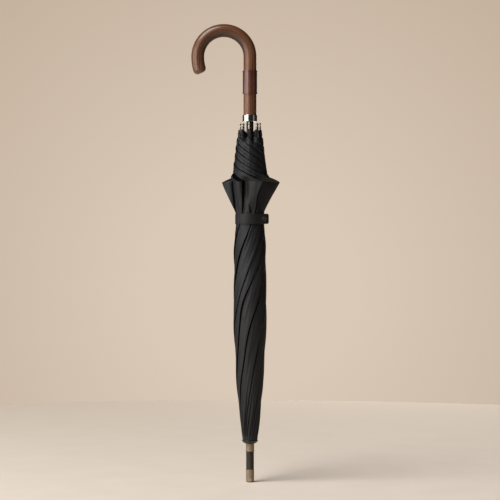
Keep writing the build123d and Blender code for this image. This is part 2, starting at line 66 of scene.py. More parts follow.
NOTCH_RADIUS, NOTCH_HEIGHT = 11.0, 93.0
RIB_LINE = [(11.6, 99.0), (18.5, 358.0), (19.5, 692.0)]
RIB_OUTSIDE = 1.3
CLOTH_BOTTOM = 82.0
EAR_HEIGHT = 590.0
EAR_TOP = 608.0
HEM_TOP = 692.0
STRAP_BOTTOM, STRAP_TOP = 507.0, 527.0
STRAP_MIDDLE = (STRAP_BOTTOM + STRAP_TOP) / 2


# ---------------------------------------------------------------- numbers and meshes
def smooth_curve(points):
    """A function through (x, y) points, with smooth slopes and flat ends."""
    xs, ys = (np.array(column, float) for column in zip(*points))
    slopes = np.gradient(ys, xs)

    def value(x):
        x = np.clip(x, xs[0], xs[-1])
        i = np.clip(np.searchsorted(xs, x) - 1, 0, len(xs) - 2)
        width = xs[i + 1] - xs[i]
        s = (x - xs[i]) / width
        rise = s * s * (3 - 2 * s)
        leave = s * (1 - s) ** 2 * width
        arrive = s * s * (s - 1) * width
        return ys[i] * (1 - rise) + ys[i + 1] * rise + slopes[i] * leave + slopes[i + 1] * arrive

    return value


def smoothstep(low, high, x):
    s = np.clip((x - low) / (high - low), 0, 1)
    return s * s * (3 - 2 * s)


def polar(radius, azimuth):
    """The x and y of a point at a radius and an azimuth in degrees."""
    return radius * np.cos(np.radians(azimuth)), radius * np.sin(np.radians(azimuth))


def rib_azimuth(number):
    """The azimuth of rib 0 to 7. Numbers past 7 go on round the umbrella."""
    return FIRST_RIB + RIB_STEP * number


def circle_through(points):
    """Centre and radius of the circle through three (x, y) points."""
    (ax, ay), (bx, by), (cx, cy) = points
    rows = np.array([[bx - ax, by - ay], [cx - ax, cy - ay]]) * 2
    sums = np.array([bx**2 - ax**2 + by**2 - ay**2, cx**2 - ax**2 + cy**2 - ay**2])
    x, y = np.linalg.solve(rows, sums)
    return x, y, math.hypot(ax - x, ay - y)


BOW_X, BOW_Y, BOW_RADIUS = circle_through(RIB_LINE)


def rib_line(z):
    """The radius of a rib's centre-line at a height."""
    reach = np.sqrt(BOW_RADIUS**2 - (z - BOW_Y) ** 2)
    return BOW_X + reach


def new_object(name, points, faces, smooth=True):
    """A mesh object from points in metres."""
    mesh = bpy.data.meshes.new(name)
    mesh.from_pydata([tuple(p) for p in points], [], faces)
    mesh.update()
    mesh.polygons.foreach_set("use_smooth", [smooth] * len(mesh.polygons))
    obj = bpy.data.objects.new(name, mesh)
    bpy.context.scene.collection.objects.link(obj)
    return obj


def grid_faces(rows, columns, skip=None):
    """Quads of a grid whose points are listed row by row, but for those that skip names."""
    faces = []
    for row in range(rows - 1):
        for column in range(columns - 1):
            if skip is None or not skip(row, column):
                a = row * columns + column
                faces.append((a, a + 1, a + columns + 1, a + columns))
    return faces


def add_cloth_attribute(obj, along):
    """Stores each point's place on the flat cloth, in metres, for the weave."""
    attribute = obj.data.attributes.new("cloth", "FLOAT_VECTOR", "POINT")
    attribute.data.foreach_set("vector", np.asarray(along, np.float32).ravel())


def join_parts(name, parts):
    """One mesh object from several (points, faces) lists."""
    points, faces = [], []
    for part_points, part_faces in parts:
        base = len(points)
        points.extend(part_points)
        faces.extend(tuple(base + k for k in face) for face in part_faces)
    return new_object(name, points, faces)


# ---------------------------------------------------------------- rolled cloth
# Against the height: the roll's outer radius, from the cap up over the waist under the strap
# and the flare above it to the hem, then how many degrees a fold winds round from its rib,
# then how far the outer fold stands above the one under it
ROLL_PROFILE = smooth_curve([
    (82, 14.0), (94, 16.0), (160, 23.3), (190, 26.3), (250, 29.2), (300, 32.5), (375, 32.4),
    (420, 31.6), (470, 31.0), (490, 29.4), (505, 28.0), (529, 28.0), (542, 30.0), (560, 32.6),
    (592, 36.5), (617, 33.0), (641, 29.4), (664, 27.0), (692, 22.4),
])
WRAP = smooth_curve([
    (82, 55), (97, 60), (134, 74), (177, 88), (232, 111), (269, 126), (338, 157), (381, 182),
    (418, 206), (487, 258), (530, 282), (592, 298),
])
STEP = smooth_curve([
    (82, 1.2), (97, 2.0), (134, 3.6), (269, 5.2), (430, 5.0), (480, 3.6), (500, 1.7), (529, 1.7),
    (545, 6.5), (592, 11.5), (615, 5.0), (660, 3.0), (692, 1.6),
])
# How far each fold's edge is turned from the even spacing, at these heights
TURN_HEIGHTS = (82, 300, 350, 418, 487, 530, 562, 592)
EDGE_TURNS = [
    (0, 0, -1, -2, -8, -10, -14, -19),
    (0, 1, 2, 2, -2, 2, -1, -5),
    (0, 3, 5, 7, 3, 11, 3, 8),
    (0, 6, 13, 18, 14, 20, 18, 16),
    (0, 0, -8, 0, -2, 8, 11, 15),
    (0, -4, -2, -7, -6, 3, 6, 10),
    (0, 1, 1, -4, -8, -2, 0, 2),
    (0, 0, 0, -1, -8, -7, -9, -10),
]
# The loose end of each fold above the strap: its stand-off, how close to the edge the
# stand-off begins, and how far it leans back
EAR_REACH = (22.0, 1.5, 12.5, 23.0, 12.0, 18.0, 12.0, 17.0)
EAR_FLATNESS = (6.0, 2.0, 3.0, 2.4, 3.0, 4.0, 3.0, 3.0)
EAR_LEAN = (24.0, 0, 0, 0, 0, 10.0, 0, 8.0)
# One fold stands open as a tube, and its front lip dips
TUBE_FOLD = 1
TUBE_SWELL = 13.5
TUBE_DIP = 7.0
FOLD_DIP = 2.0
FOLD_THICKNESS = 1.3
INNER_RADIUS = 13.9
CLOTH_ON_RIB = 0.25
LOOSE_HEIGHT = 1.5
SEAM_TUCK = 24.0
TUCK_START = 0.84
TRENCH_DEPTH, TRENCH_INDEX, TRENCH_WIDTH = 2.6, 0.975, 0.055
WAVER_DEGREES, WAVER_LENGTH = 1.6, 23.0
HEM_BAND = 11.5
HEM_SAG = 11.0
HEM_HOLLOW = 8.0
DART_AZIMUTH, DART_LEAN, DART_LENGTH = -79.0, 0.66, 30.0
HOLLOW_AZIMUTH, HOLLOW_WIDTH, HOLLOW_DEPTH = -104.0, 10.0, 6.0
# Soft folds: depth, folds in a turn, the rise that shifts them by a radian, and their start
LONG_FOLDS = [(0.34, 7, 61, 0.0), (0.22, 13, -37, 1.0), (0.12, 29, 19, 2.0)]
STRAP_FOLDS = [(0.26, 34, 40, 0.0), (0.20, 53, math.inf, 1.7)]
SKIRT_FOLDS = [(0.7, 11, math.inf, 0.6), (0.3, 19, math.inf, 2.0)]

ROWS_LOW = 120
ROWS_SKIRT = 76
ROWS_ABOVE = 90
OUTER_COLUMNS = 88
NEAR_COLUMNS = 62
NEAR_SPAN = 62.0
FOLD_COLUMNS = 4
INNER_COLUMNS = 40


def hem_share(z):
    """The part of the full wrap that the sloping hem leaves at a height."""
    left = np.clip((HEM_TOP - z) / (HEM_TOP - EAR_HEIGHT), 0, 1)
    return np.where(z > EAR_HEIGHT, left**1.08, 1.0)


def fold_wrap(number, z):
    """Degrees from a rib round to the edge of its folded cloth, with no hem."""
    turns = smooth_curve(list(zip(TURN_HEIGHTS, EDGE_TURNS[number % RIBS])))
    below_strap = smoothstep(90, 160, z) * (1 - smoothstep(480, 505, z))
    waver = WAVER_DEGREES * np.sin(z / WAVER_LENGTH + 2.1 * (number % RIBS))
    return WRAP(z) + turns(z) + waver * below_strap


def edge_azimuth(number, z):
    """Where a fold's edge lies. The hem brings it back to its own rib."""
    wrap = np.maximum(fold_wrap(number, z) * hem_share(z), 2.5)
    return rib_azimuth(number) + wrap


def root_radius(z):
    """Where the cloth lies on the outside of the ribs."""
    on_rib = rib_line(np.clip(z, RIB_LINE[0][1], HEM_TOP)) + RIB_OUTSIDE + CLOTH_ON_RIB
    return np.where(z < RIB_LINE[0][1], INNER_RADIUS, on_rib)


def edges_behind(number, z):
    """Azimuths of this fold's edge and of the eight edges behind it."""
    return [edge_azimuth(number - k, z) for k in range(RIBS + 1)]


def depth_index(azimuth, edges):
    """How many edges lie between a place and this fold's own edge, with fractions."""
    index = np.zeros_like(azimuth)
    for k in range(RIBS):
        gap = edges[k] - edges[k + 1]
        index += np.clip((edges[k] - azimuth) / gap, 0, 1)
    return index


def soft_folds(table, azimuth, z):
    """The height of several sets of soft folds at a place."""
    return sum(
        depth * np.sin(np.radians(count * azimuth) + z / rise + start)
        for depth, count, rise, start in table
    )


def crease(azimuth, z):
    """Soft pleats along the roll and tight ones where the strap and the cap gather it."""
    lay = azimuth - WRAP(z)
    long_folds = soft_folds(LONG_FOLDS, lay, z)
    near_strap = np.exp(-(((z - STRAP_MIDDLE) / 24.0) ** 2))
    near_cap = 1 - smoothstep(105, 215, z)
    valleys = (0.5 + 0.5 * np.cos(np.radians(15 * lay) + 0.9 * np.sin(z / 31))) ** 5
    fine = (0.5 + 0.5 * np.cos(np.radians(27 * lay) + 1.0)) ** 3
    gathers = near_cap * (2.0 * valleys + 0.8 * fine) * smoothstep(84, 96, z)
    tight = soft_folds(STRAP_FOLDS, azimuth, z)
    calm = smoothstep(84, 130, z)
    return long_folds * calm * (1 - 0.8 * near_strap) + tight * near_strap - gathers


def roll_depth(index, z):
    """How far below the roll's outside a layer lies, from its depth index. A narrow trench
    in front of the next edge gives each fold its dark line."""
    total = ROLL_PROFILE(z) - root_radius(z)
    trench = TRENCH_DEPTH * np.exp(-(((index - TRENCH_INDEX) / TRENCH_WIDTH) ** 2))
    trench = trench * smoothstep(1.0, 5.0, total)
    first = np.minimum(STEP(z), 0.75 * total)
    layers = np.maximum(WRAP(z) * hem_share(z) / RIB_STEP, 1.6)
    shallow = np.clip(index, 0, 1)
    tuck = first * (0.3 * shallow + 0.7 * smoothstep(TUCK_START, 1.0, shallow))
    deep = (total - first) * np.clip((index - 1) / (layers - 1), 0, 1)
    return tuck + deep + trench


def ear_shape(number, index, z):
    """How much of its full stand-off the loose end above the strap has."""
    rise = np.clip((z - STRAP_TOP) / (EAR_HEIGHT - STRAP_TOP), 0, 1)
    fall = np.clip((EAR_TOP - z) / (EAR_TOP - EAR_HEIGHT), 0, 1) ** 1.4
    height = np.where(z < EAR_HEIGHT, rise**1.05, fall)
    return height * (1 - np.clip(index, 0, 1)) ** EAR_FLATNESS[number % RIBS]


def ear_lift(number, index, z):
    """How far the loose end stands off the roll."""
    return EAR_REACH[number % RIBS] * ear_shape(number, index, z)


def tube_thickness(number, z, back):
    """The distance between a fold's two layers at an arc length behind its edge."""
    if number % RIBS != TUBE_FOLD:
        return FOLD_THICKNESS * (1 - 0.45 * smoothstep(3, 14, back))
    width = 13.0 + 8.0 * smoothstep(STRAP_TOP, EAR_HEIGHT, z)
    swell = 0.35 * smoothstep(STRAP_TOP + 1, STRAP_TOP + 16, z)
    swell = swell + 0.65 * smoothstep(STRAP_TOP, EAR_HEIGHT, z)
    swell = swell * (1 - smoothstep(598, 624, z))
    across = np.clip(2 * back / width - 1, -1, 1)
    return FOLD_THICKNESS * 0.6 + TUBE_SWELL * swell * np.sqrt(np.clip(1 - across**2, 0, 1))


def hollow_share(azimuth):
    """From 0 at a rib to 1 halfway between two ribs."""
    return (0.5 - 0.5 * np.cos(np.radians((azimuth - FIRST_RIB) * RIBS))) ** 2.2


def between_ribs(azimuth, z):
    """The hollows between the ribs' tips, where the cloth hangs loose near the hem."""
    return HEM_HOLLOW * hollow_share(azimuth) * smoothstep(655, 684, z)


def hem_sag(azimuth, z):
    """How far the hem droops between the ribs' tips."""
    return HEM_SAG * hollow_share(azimuth) * smoothstep(664, HEM_TOP, z)


def skirt_pleats(azimuth, z):
    """Short folds that fan out of the strap and fade towards the ears, with one deeper dart
    and the hollow beside the tube on the front."""
    fan = smoothstep(STRAP_TOP, STRAP_TOP + 10, z) * (1 - smoothstep(STRAP_TOP + 16, EAR_HEIGHT, z))
    folds = soft_folds(SKIRT_FOLDS, azimuth, z)
    up = z - STRAP_TOP
    dart_fade = smoothstep(0, 3, up) * np.clip(1 - up / DART_LENGTH, 0, 1)
    turned = (azimuth + 180) % 360 - 180
    side = turned - (DART_AZIMUTH - up * DART_LEAN)
    dart_width = np.where(side > 0, 3.2, 7.0) * (0.4 + 0.6 * dart_fade)
    dart = 4.2 * np.exp(-((side / dart_width) ** 2))
    hollow_rise = smoothstep(STRAP_TOP + 16, EAR_HEIGHT - 14, z)
    hollow_fade = hollow_rise * (1 - smoothstep(EAR_HEIGHT - 2, EAR_HEIGHT + 14, z))
    hollow = HOLLOW_DEPTH * np.exp(-(((turned - HOLLOW_AZIMUTH) / HOLLOW_WIDTH) ** 2))
    return fan * folds - dart_fade * dart - hollow_fade * hollow


def hem_band(back, z):
    """The turned and stitched hem: a raised band and the groove of its stitching."""
    band = smoothstep(HEM_BAND, HEM_BAND - 2.5, back) * 0.35
    groove = np.exp(-(((back - HEM_BAND) / 1.7) ** 2)) * 0.75
    return (band - groove) * smoothstep(EAR_HEIGHT + 4, EAR_HEIGHT + 16, z)


def gore_heights():
    """The heights of a rolled gore's rows: closer together above the strap."""
    low = np.linspace(CLOTH_BOTTOM, STRAP_BOTTOM, ROWS_LOW)
    skirt = np.linspace(STRAP_BOTTOM, EAR_HEIGHT, ROWS_SKIRT)[1:]
    above = np.linspace(EAR_HEIGHT, HEM_TOP, ROWS_ABOVE)[1:]
    return np.concatenate([low, skirt, above])[:, None]


def column_shares(wrap):
    """The outer layer's columns as shares of its wrap, from the rib to the closer ones at
    the edge."""
    near = np.minimum(NEAR_SPAN / wrap, 0.7)
    from_edge = near * np.linspace(0, 1, NEAR_COLUMNS)[None, :]
    far_columns = OUTER_COLUMNS - NEAR_COLUMNS
    to_rib = near + (1 - near) * np.linspace(0, 1, far_columns + 1)[None, 1:]
    return np.hstack([from_edge, to_rib])[:, ::-1]


def fold_surface(number, azimuth, z, index):
    """The radius of a fold's outer face, before its edge and its ribs are worked in."""
    radius = ROLL_PROFILE(z) - roll_depth(index, z) + ear_lift(number, index, z)
    loose = smoothstep(0.0, LOOSE_HEIGHT, radius - root_radius(z))
    radius = radius + (crease(azimuth, z) + skirt_pleats(azimuth, z)) * loose
    return radius - between_ribs(azimuth, z)


def rolled_gore(number):
    """One gore folded double and wrapped round the shaft, from its rib to the next one."""
    z = gore_heights()
    tube = number % RIBS == TUBE_FOLD
    edges = edges_behind(number, z)
    edge = edges[0]
    wrap = edge - rib_azimuth(number)

    # The outer layer, from the rib to the fold's edge
    share = column_shares(wrap)
    outer_azimuth = edge - wrap * share
    back = np.radians(wrap * share) * ROLL_PROFILE(z)
    index = depth_index(outer_azimuth, edges)
    outer = fold_surface(number, outer_azimuth, z, index) + hem_band(back, z)
    if tube:
        outer = outer + tube_thickness(number, z, back) * 0.2
    at_rib = smoothstep(0.9, 1.0, share)
    outer = outer * (1 - at_rib) + root_radius(z) * at_rib

    # The inner layer, from the edge back to the next rib
    share_in = (np.linspace(0, 1, INNER_COLUMNS) ** 1.6)[None, :]
    long_wrap = smoothstep(80, 160, wrap)
    seam = rib_azimuth(number + 1) - SEAM_TUCK * long_wrap
    inner_azimuth = edge + share_in * (seam - edge)
    back_in = np.radians(np.abs(edge - inner_azimuth)) * ROLL_PROFILE(z)
    index_in = depth_index(inner_azimuth, edges)
    gap = tube_thickness(number, z, back_in)
    mouth = 0.8 + 0.7 * smoothstep(EAR_HEIGHT - 25, EAR_HEIGHT, z)
    inner = fold_surface(number, inner_azimuth, z, index_in) - (mouth * gap if tube else gap)
    forward = smoothstep(70, 35, wrap) * np.sin(np.pi * share_in) * 4.0
    at_next = smoothstep(0.78, 1.0, share_in)
    tucked = 0.2 + 4.0 * long_wrap + between_ribs(inner_azimuth, z)
    inner = (inner - forward) * (1 - at_next) + (root_radius(z) - tucked) * at_next

    # The rounded fold between them
    rim = (outer[:, -1:] - inner[:, :1]) / 2
    middle = (outer[:, -1:] + inner[:, :1]) / 2
    turn = np.radians(np.linspace(90, -90, FOLD_COLUMNS + 2)[1:-1])[None, :]
    fold_radius = middle + rim * np.sin(turn)
    fold_azimuth = edge + np.degrees(rim * np.cos(turn) / middle)

    lean = EAR_LEAN[number % RIBS]
    radius = np.hstack([outer, fold_radius, inner])
    azimuth = np.hstack([
        outer_azimuth - lean * ear_shape(number, index, z),
        fold_azimuth - lean * ear_shape(number, 0 * fold_radius, z),
        inner_azimuth - lean * ear_shape(number, index_in, z),
    ])
    height = np.broadcast_to(z, radius.shape).copy()
    # The hem dips towards the corner of the fold, lower on the outside, and between the ribs
    from_fold = np.hstack([back, 0 * fold_radius, back_in])
    near_edge = np.exp(-((from_fold / 16.0) ** 2))
    outside = np.hstack([np.ones_like(outer), np.full_like(fold_radius, 0.5), np.zeros_like(inner)])
    dip = smoothstep(EAR_HEIGHT - 14, EAR_HEIGHT + 18, height) * (1 - smoothstep(620, 650, height))
    height = height - dip * near_edge * outside * (TUBE_DIP if tube else FOLD_DIP)
    height = height - hem_sag(azimuth, height)

    x, y = polar(radius, azimuth)
    points = np.stack([x, y, height], axis=-1).reshape(-1, 3) * MM
    rows, columns = radius.shape
    hem_row = ROWS_LOW + ROWS_SKIRT - 2

    def open_hem(row, column):
        return row >= hem_row and OUTER_COLUMNS - 1 <= column < OUTER_COLUMNS + FOLD_COLUMNS

    faces = grid_faces(rows, columns, skip=open_hem)
    obj = new_object(f"rolled_gore_{number + 1}", points, faces)
    obj.data.materials.append(canopy_cloth)
    # The tube's inner layer takes a darker, duller cloth: painted shade in the tube's mouth.
    if tube:
        obj.data.materials.append(canopy_painted_shade)
        first_inner = OUTER_COLUMNS + FOLD_COLUMNS - 1
        inside = [int(min(face) % columns >= first_inner) for face in faces]
        obj.data.polygons.foreach_set("material_index", inside)
    across = np.hstack([-back, 0 * fold_radius, back_in])
    add_cloth_attribute(obj, np.stack([across, height, 0 * height], axis=-1).reshape(-1, 3) * MM)
    return obj


# ---------------------------------------------------------------- spread cloth
SPREAD_WIDTH = 10.0
SPREAD_BOTTOM = 98.0
SCALLOP = 26.0
STRIP_TUCK = 2.2
SPREAD_ROWS = 72
SPREAD_COLUMNS = 25


def open_radius(z):
    """How far from the shaft a rib's point is when the umbrella is open."""
    out = np.clip(rib_line(np.clip(z, RIB_LINE[0][1], HEM_TOP)) - NOTCH_RADIUS, 0, None)
    return NOTCH_RADIUS + out * math.cos(OPEN_ANGLE) + (z - NOTCH_HEIGHT) * math.sin(OPEN_ANGLE)


def spread_gore(number):
    """The gore's cloth beside its rib: a narrow strip along the rib, with its place on the open gore stored
    for the weave.
    """
    u = np.linspace(0, 1, SPREAD_COLUMNS)[None, :]
    s = np.linspace(0, 1, SPREAD_ROWS)[:, None]
    top = HEM_TOP - SCALLOP * 4 * u * (1 - u)
    z = SPREAD_BOTTOM + (top - SPREAD_BOTTOM) * s
    weight = u * open_radius(z) / open_radius(HEM_TOP)
    along = 0.5 - np.sin(np.arcsin(1 - 2 * np.clip(weight, 0, 1)) / 3)
    azimuth = math.radians(rib_azimuth(number))
    radius = rib_line(np.clip(z, RIB_LINE[0][1], HEM_TOP)) + RIB_OUTSIDE + 0.3
    sideways = along * SPREAD_WIDTH
    turned = rib_azimuth(number) + np.degrees(np.arctan2(sideways, radius))
    tuck = between_ribs(turned, z) + STRIP_TUCK * smoothstep(655, 675, z)
    radius = radius - tuck * smoothstep(0.05, 0.45, along)
    x = radius * math.cos(azimuth) - sideways * math.sin(azimuth)
    y = radius * math.sin(azimuth) + sideways * math.cos(azimuth)
    points = np.stack([x, y, z], axis=-1).reshape(-1, 3) * MM
    obj = new_object(f"spread_gore_{number + 1}", points, grid_faces(SPREAD_ROWS, SPREAD_COLUMNS))
    width = 2 * open_radius(z) * math.sin(math.radians(RIB_STEP / 2))
    flat = np.stack([(u - 0.5) * width, z, 0 * z], axis=-1).reshape(-1, 3) * MM
    add_cloth_attribute(obj, flat)
    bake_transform(obj)
    return obj


# ---------------------------------------------------------------- crown, strap and small trim
CROWN_PLEATS = 24
CROWN_POINTS = 240
CROWN_BOTTOM, CROWN_TOP = 79.5, 90.0
CROWN_MEAN_RADIUS = 13.0
CROWN_RADII = (11.2, 14.6, 14.9, 14.2)
CROWN_RADIUS_HEIGHTS = (79.5, 82.8, 85.5, 90.0)
STRAP_INNER = 28.5
STRAP_THICKNESS = 0.8
FLAP_INNER = 29.7
FLAP_HINGE = -133.0
FLAP_LEAVE = -60.0
FLAP_TAIL = 25.0
BUTTON_ALONG = 14.4
BUTTON_PROFILE = [
    (0.0, 1.45), (1.6, 1.42), (2.9, 1.30), (3.5, 1.22), (3.75, 1.45), (4.1, 1.72), (4.45, 1.62),
    (4.75, 1.25), (4.9, 0.7), (4.75, 0.15), (4.2, 0.0), (1.6, 0.0), (1.6, -3.0), (0.0, -3.0),
]
# Across a band, from edge to edge in half widths, with a stitched line near each edge
BAND_ACROSS = np.array([-1, -0.97, -0.9, -0.84, -0.78, -0.5, 0, 0.5, 0.78, 0.84, 0.9, 0.97, 1])
BAND_STEP = 1.2
STITCH_LINE = 0.84


def lathe(profile, turns, ripple=None):
    """Points and faces of a (radius, height) profile turned round the Z axis."""
    points, faces = [], []
    count = len(profile)
    for k in range(turns):
        angle = 2 * math.pi * k / turns
        for radius, height in profile:
            r = radius + (ripple(angle, height) if ripple else 0)
            points.append((r * math.cos(angle), r * math.sin(angle), height))
    for k in range(turns):
        for row in range(count - 1):
            a, b = k * count + row, ((k + 1) % turns) * count + row
            faces.append((a, b, b + 1, a + 1))
    return points, faces


def in_metres(points):
    return [tuple(c * MM for c in p) for p in points]


def crown_cloth():
    """The cloth gathered into the cap, with pleats that open upwards."""
    heights = np.linspace(CROWN_BOTTOM, CROWN_TOP, 10)
    radii = np.interp(heights, CROWN_RADIUS_HEIGHTS, CROWN_RADII)
    profile = [(float(radius), float(z)) for radius, z in zip(radii, heights)]

    def pleat(angle, height):
        depth = 0.6 * (height - CROWN_BOTTOM) / (CROWN_TOP - CROWN_BOTTOM)
        return depth * (math.sin(CROWN_PLEATS * angle) + 0.5 * math.sin(9 * angle + 1.0)) - 0.3

    points, faces = lathe(profile, CROWN_POINTS, pleat)
    obj = new_object("crown_cloth", in_metres(points), faces)
    step = 2 * math.pi * CROWN_MEAN_RADIUS / CROWN_POINTS
    around = [(step * k, z, 0) for k in range(CROWN_POINTS) for _, z in profile]
    add_cloth_attribute(obj, np.array(around) * MM)
    return obj


def flap_path(distance):
    """Where the flap's inner face is, and the azimuth it faces, at a distance from its hinge."""
    bend = math.radians(FLAP_LEAVE - FLAP_HINGE) * FLAP_INNER
    if distance < bend:
        azimuth = FLAP_HINGE + math.degrees(distance / FLAP_INNER)
        radius = FLAP_INNER - 1.0 * float(1 - smoothstep(0, 9, distance))
        x, y = polar(radius, azimuth)
        return x, y, azimuth
    x, y = polar(FLAP_INNER, FLAP_LEAVE)
    straight = distance - bend
    side = math.radians(FLAP_LEAVE + 90)
    return x + straight * math.cos(side), y + straight * math.sin(side), FLAP_LEAVE


FLAP_LENGTH = math.radians(FLAP_LEAVE - FLAP_HINGE) * FLAP_INNER + FLAP_TAIL


def strap_path(distance):
    """The same for the strap that stays round the roll."""
    azimuth = FLAP_HINGE - 1.0 - math.degrees(distance / STRAP_INNER)
    x, y = polar(STRAP_INNER, azimuth)
    return x, y, azimuth


STRAP_LENGTH = math.radians(271.0) * STRAP_INNER


def webbing(name, path, length, round_end=0.0):
    """A sewn cloth band along a path: crowned faces, thick turned edges, rounded corners."""
    half = (STRAP_TOP - STRAP_BOTTOM) / 2
    out_from_middle = np.abs(BAND_ACROSS)
    stitched = np.exp(-(((out_from_middle - STITCH_LINE) / 0.05) ** 2))
    turned_edge = out_from_middle > 0.86
    rim = out_from_middle > 0.98
    outside = STRAP_THICKNESS * (0.80 - 0.25 * stitched + 0.2 * turned_edge - 0.45 * rim)
    inside = STRAP_THICKNESS * (0.05 + 0.15 * rim)
    steps = int(length / BAND_STEP)
    points, flat = [], []
    for k in range(steps + 1):
        distance = length * k / steps
        x, y, azimuth = path(distance)
        out = (math.cos(math.radians(azimuth)), math.sin(math.radians(azimuth)))
        into_end = max(0.0, round_end - (length - distance))
        narrow = half - (round_end - math.sqrt(max(round_end**2 - into_end**2, 0.0)))
        for level, order in ((outside, 1), (inside, -1)):
            for a, lift in list(zip(BAND_ACROSS, level))[::order]:
                points.append((x + out[0] * lift, y + out[1] * lift, STRAP_MIDDLE + a * narrow))
                flat.append((distance, a * narrow, 0))
    ring = 2 * len(BAND_ACROSS)
    faces = []
    for k in range(steps):
        for i in range(ring):
            a, b = k * ring + i, k * ring + (i + 1) % ring
            faces.append((a, b, b + ring, a + ring))
    faces.append(tuple(range(ring)))
    faces.append(tuple(steps * ring + i for i in reversed(range(ring))))
    obj = new_object(name, in_metres(points), faces)
    add_cloth_attribute(obj, np.array(flat) * MM)
    return obj


def capsule(start, end, radius, sides=6):
    """A short rounded stitch or strand between two points."""
    a, b = np.array(start, float), np.array(end, float)
    direction = (b - a) / np.linalg.norm(b - a)
    helper = np.array((0, 0, 1.0)) if abs(direction[2]) < 0.8 else np.array((1.0, 0, 0))
    u = np.cross(direction, helper)
    u /= np.linalg.norm(u)
    v = np.cross(direction, u)
    rings = [(0.0, 0.45), (0.18, 1.0), (0.82, 1.0), (1.0, 0.45)]
    points = []
    for share, width in rings:
        for k in range(sides):
            angle = 2 * math.pi * k / sides
            offset = radius * width * (math.cos(angle) * u + math.sin(angle) * v)
            points.append(tuple(a + (b - a) * share + offset))
    faces = []
    for ring in range(len(rings) - 1):
        for k in range(sides):
            a, b = ring * sides + k, ring * sides + (k + 1) % sides
            faces.append((a, b, b + sides, a + sides))
    faces.append(tuple(reversed(range(sides))))
    faces.append(tuple((len(rings) - 1) * sides + k for k in range(sides)))
    return points, faces


def stitch_rows(name, path, length, heights, lift, pitch=2.6, stitch=1.7, thickness=0.16):
    """Rows of separate stitches that follow a band's path."""
    parts = []
    for height in heights:
        for k in range(int((length - pitch) / pitch)):
            ends = []
            for distance in (pitch * (k + 0.4), pitch * (k + 0.4) + stitch):
                x, y, azimuth = path(distance)
                dx, dy = polar(lift, azimuth)
                ends.append((x + dx, y + dy, height))
            parts.append(capsule(*ends, thickness))
    return join_parts(name, [(in_metres(points), faces) for points, faces in parts])


def snap_button():
    """A domed press button with a rolled rim and a dished middle, over its stud."""
    bend = math.radians(FLAP_LEAVE - FLAP_HINGE) * FLAP_INNER
    x, y, azimuth = flap_path(bend + BUTTON_ALONG)
    points, faces = lathe(BUTTON_PROFILE, 48)
    out = np.array((math.cos(math.radians(azimuth)), math.sin(math.radians(azimuth)), 0))
    side = np.array((-out[1], out[0], 0))
    up = np.array((0, 0, 1.0))
    base = np.array((x, y, STRAP_MIDDLE)) + out * STRAP_THICKNESS
    placed = [base + side * px + up * py + out * pz for px, py, pz in points]
    return new_object("snap_button", in_metres(placed), [tuple(reversed(f)) for f in faces])


def tip_threads(number):
    """The sewing that ties the gore's corner to its rib's tip."""
    azimuth = rib_azimuth(number)
    parts = []
    for side in (-1.0, 0.0, 1.0):
        low_x, low_y = polar(21.4, azimuth + side * 4.2)
        high_x, high_y = polar(21.3 if side == 0 else 20.4, azimuth + side * 3.6)
        parts.append(capsule((low_x, low_y, 688.5), (high_x, high_y, 699.6 - abs(side)), 0.22))
    knot_x, knot_y = polar(21.1, azimuth)
    parts.append(capsule((knot_x - 0.3, knot_y, 699.2), (knot_x + 0.3, knot_y, 700.3), 0.4))
    return join_parts(f"tip_threads_{number + 1}", [(in_metres(points), faces) for points, faces in parts])


def band_path(radius):
    """A path once round the handle, for the leather band's stitches."""
    def path(distance):
        azimuth = math.degrees(distance / radius)
        x, y = polar(radius, azimuth)
        return x, y, azimuth
    return path


# ---------------------------------------------------------------- materials
def srgb(red, green, blue):
    """A colour from 0 to 255 in display values, as linear numbers."""
    linear = []
    for value in (red, green, blue):
        share = value / 255
        linear.append(share / 12.92 if value <= 10 else ((share + 0.055) / 1.055) ** 2.4)
    return (*linear, 1.0)


